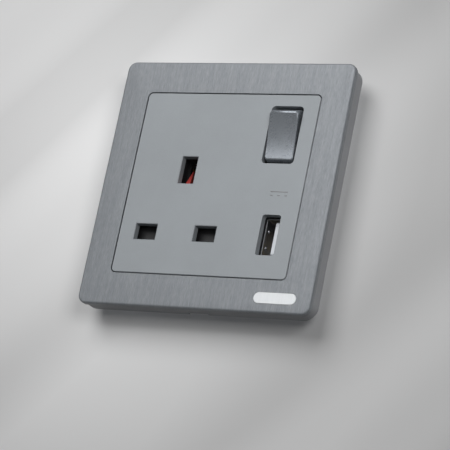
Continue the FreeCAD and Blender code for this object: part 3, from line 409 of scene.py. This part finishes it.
def add_block(bm, low, high):
    """A rectangular block between two corners."""
    size = Vector(high) - Vector(low)
    middle = (Vector(high) + Vector(low)) / 2
    bmesh.ops.create_cube(bm, size=1.0, matrix=Matrix.Translation(middle) @ Matrix.Diagonal((*size, 1.0)))


def printed_mark():
    """The line over dashes that stands for direct current, in faint ink."""
    face_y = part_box("front_panel")[0].y
    bm = bmesh.new()
    front = face_y - INK_THICK
    add_block(bm, (MARK_LEFT, front, MARK_TOP - MARK_LINE), (MARK_RIGHT, face_y, MARK_TOP))
    low = MARK_TOP - MARK_ROW_GAP
    pitch = (MARK_RIGHT - MARK_LEFT - MARK_DASH) / (MARK_DASHES - 1)
    for i in range(MARK_DASHES):
        left = MARK_LEFT + i * pitch
        add_block(bm, (left, front, low - MARK_LINE), (left + MARK_DASH, face_y, low))
    finish_piece("printed_dc_mark", bm, "socket", INK)


def wound_spring(outer, wire, turns, length):
    """A round wire spun up a helix along Z, standing on the origin."""
    bm = bmesh.new()
    middle = outer - wire / 2
    turn = Matrix.Rotation(math.radians(90), 4, "X")
    start = Matrix.Translation((middle, 0, wire / 2)) @ turn
    ring = bmesh.ops.create_circle(
        bm, cap_ends=False, segments=SPRING_RING_SIDES, radius=wire / 2, matrix=start
    )
    edges = {edge for vert in ring["verts"] for edge in vert.link_edges}
    steps = turns * SPRING_TURN_STEPS
    bmesh.ops.spin(
        bm,
        geom=list(ring["verts"]) + list(edges),
        cent=(0, 0, 0),
        axis=(0, 0, 1),
        dvec=(0, 0, (length - wire) / steps),
        angle=turns * 2 * math.pi,
        steps=steps,
        use_merge=False,
        use_duplicate=False,
    )
    rims = [edge for edge in bm.edges if len(edge.link_faces) == 1]
    bmesh.ops.holes_fill(bm, edges=rims, sides=SPRING_RING_SIDES)
    bmesh.ops.recalc_face_normals(bm, faces=bm.faces)
    return bm


def rocker_spring():
    """Round wire over the plunger's spring, in line with the tilted rocker."""
    bm = wound_spring(ROCKER_SPRING_RADIUS, ROCKER_SPRING_WIRE, ROCKER_SPRING_TURNS, ROCKER_SPRING_LENGTH)
    turn = Matrix.Rotation(ROCKER_TILT - math.radians(90), 4, "X")
    low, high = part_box("rocker_spring")
    middle = Vector((0, 0, ROCKER_SPRING_LENGTH / 2))
    place = Matrix.Translation((low + high) / 2 - turn @ middle) @ turn
    bmesh.ops.transform(bm, verts=bm.verts, matrix=place)
    piece = finish_piece("wound_rocker_spring", bm, "rocker", MATERIALS["spring_steel"])
    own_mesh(piece)
    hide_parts("rocker_spring")


def shutter_spring():
    """Round wire over the shutter's return spring."""
    low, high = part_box("shutter_spring")
    outer = (high.y - low.y) / 2
    bm = wound_spring(outer, SHUTTER_SPRING_WIRE, SHUTTER_SPRING_TURNS, high.z - low.z)
    place = Matrix.Translation(((low.x + high.x) / 2, (low.y + high.y) / 2, low.z))
    bmesh.ops.transform(bm, verts=bm.verts, matrix=place)
    piece = finish_piece("wound_shutter_spring", bm, "socket", MATERIALS["spring_steel"])
    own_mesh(piece)
    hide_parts("shutter_spring")


def camera():
    """The photograph's viewpoint, rolled as it was held."""
    data = bpy.data.cameras.new("photo_camera")
    data.sensor_width = SENSOR_WIDTH
    data.lens = CAMERA_LENS
    data.clip_start, data.clip_end = CAMERA_CLIP
    eye = bpy.data.objects.new("photo_camera", data)
    bpy.context.scene.collection.objects.link(eye)
    look = Vector(CAMERA_AIM) - Vector(CAMERA_AT)
    turn = look.to_track_quat("-Z", "Y").to_matrix().to_4x4()
    eye.matrix_world = Matrix.Translation(CAMERA_AT) @ turn @ Matrix.Rotation(-CAMERA_ROLL, 4, "Z")
    bpy.context.scene.camera = eye


def area_light(name, place, aim, size, power):
    """A soft square lamp that looks at a point."""
    data = bpy.data.lights.new(name, "AREA")
    data.shape = "SQUARE"
    data.size = size
    data.energy = power
    lamp = bpy.data.objects.new(name, data)
    bpy.context.scene.collection.objects.link(lamp)
    look = Vector(aim) - Vector(place)
    lamp.matrix_world = Matrix.Translation(place) @ look.to_track_quat("-Z", "Y").to_matrix().to_4x4()


def light_streaks(tree):
    """Painted light and shade: soft slanting bands, as window light leaves on a wall, round a painted
    glow left of the plate.
    """
    place = tree.nodes.new("ShaderNodeTexCoord")
    mapping = tree.nodes.new("ShaderNodeMapping")
    mapping.vector_type = "TEXTURE"
    mapping.inputs["Rotation"].default_value = (0, STREAK_TURN, 0)
    mapping.inputs["Scale"].default_value = STREAK_SIZE
    tree.links.new(place.outputs["Object"], mapping.inputs["Vector"])
    slanted = noise(tree, mapping.outputs["Vector"], 1.0, 1.0, STREAK_SOFTNESS)
    bands = spread(tree, slanted, STREAK_MIDDLE, STREAK_DARK, STREAK_LIGHT)
    away = tree.nodes.new("ShaderNodeVectorMath")
    away.operation = "DISTANCE"
    away.inputs[1].default_value = GLOW_CENTRE
    tree.links.new(place.outputs["Object"], away.inputs[0])
    glow = spread(tree, away.outputs["Value"], (0.0, GLOW_REACH), GLOW_NEAR, GLOW_FAR)
    return math_node(tree, "MULTIPLY", bands, glow)


def backdrop_material(name, one_sided):
    """Pale to the eye and in reflections, dark as a bounce, and open from behind if one-sided."""
    material = bpy.data.materials.new(name)
    material.use_nodes = True
    tree = material.node_tree
    tree.nodes.remove(tree.nodes["Principled BSDF"])
    out = tree.nodes["Material Output"]
    path = tree.nodes.new("ShaderNodeLightPath")
    seen = math_node(tree, "MAXIMUM", path.outputs["Is Camera Ray"], path.outputs["Is Glossy Ray"])
    seen = math_node(tree, "MAXIMUM", seen, path.outputs["Is Transmission Ray"])
    tone = spread(tree, seen, (0.0, 1.0), WALL_LIT, WALL_SEEN)
    paint = tree.nodes.new("ShaderNodeBsdfDiffuse")
    # painted light and shade: the streak bands and the glow lighten and darken the colour of the wall and
    # floor
    streaked = math_node(tree, "MULTIPLY", tone, light_streaks(tree))
    tree.links.new(streaked, paint.inputs["Color"])
    surface = paint.outputs[0]
    if one_sided:
        side = tree.nodes.new("ShaderNodeNewGeometry")
        clear = tree.nodes.new("ShaderNodeBsdfTransparent")
        choice = tree.nodes.new("ShaderNodeMixShader")
        opened = math_node(tree, "MAXIMUM", side.outputs["Backfacing"], path.outputs["Is Shadow Ray"])
        tree.links.new(opened, choice.inputs[0])
        tree.links.new(paint.outputs[0], choice.inputs[1])
        tree.links.new(clear.outputs[0], choice.inputs[2])
        surface = choice.outputs[0]
    tree.links.new(surface, out.inputs["Surface"])
    return material


def stage_plane(name, half, place, turn, material):
    """One flat sheet of the studio."""
    bm = bmesh.new()
    pose = Matrix.Translation(place) @ turn
    bmesh.ops.create_grid(bm, x_segments=1, y_segments=1, size=half, matrix=pose)
    mesh = bpy.data.meshes.new(name)
    bm.to_mesh(mesh)
    bm.free()
    mesh.materials.append(material)
    sheet = bpy.data.objects.new(name, mesh)
    bpy.context.scene.collection.objects.link(sheet)


def studio():
    """Pale wall and floor, four soft lamps and a dim sky."""
    stand_up = Matrix.Rotation(math.radians(90), 4, "X")
    lie_flat = Matrix.Identity(4)
    wall_paint = backdrop_material("pale_wall", True)
    stage_plane("pale_wall", WALL_HALF, (0, WALL_Y, 0), stand_up, wall_paint)
    floor_paint = backdrop_material("pale_floor", False)
    stage_plane("pale_floor", FLOOR_HALF, (0, 0, FLOOR_Z), lie_flat, floor_paint)
    for name, (place, size, power) in LAMPS.items():
        area_light(name, place, LAMP_AIM, size, power)
    world = bpy.data.worlds.new("studio_sky")
    world.use_nodes = True
    sky = world.node_tree.nodes["Background"]
    sky.inputs["Color"].default_value = SKY_COLOUR
    sky.inputs["Strength"].default_value = SKY_STRENGTH
    bpy.context.scene.world = world
    bpy.context.scene.view_settings.view_transform = "Standard"


camera()
dress_cad_nodes()
printed_mark()
rocker_spring()
shutter_spring()
studio()
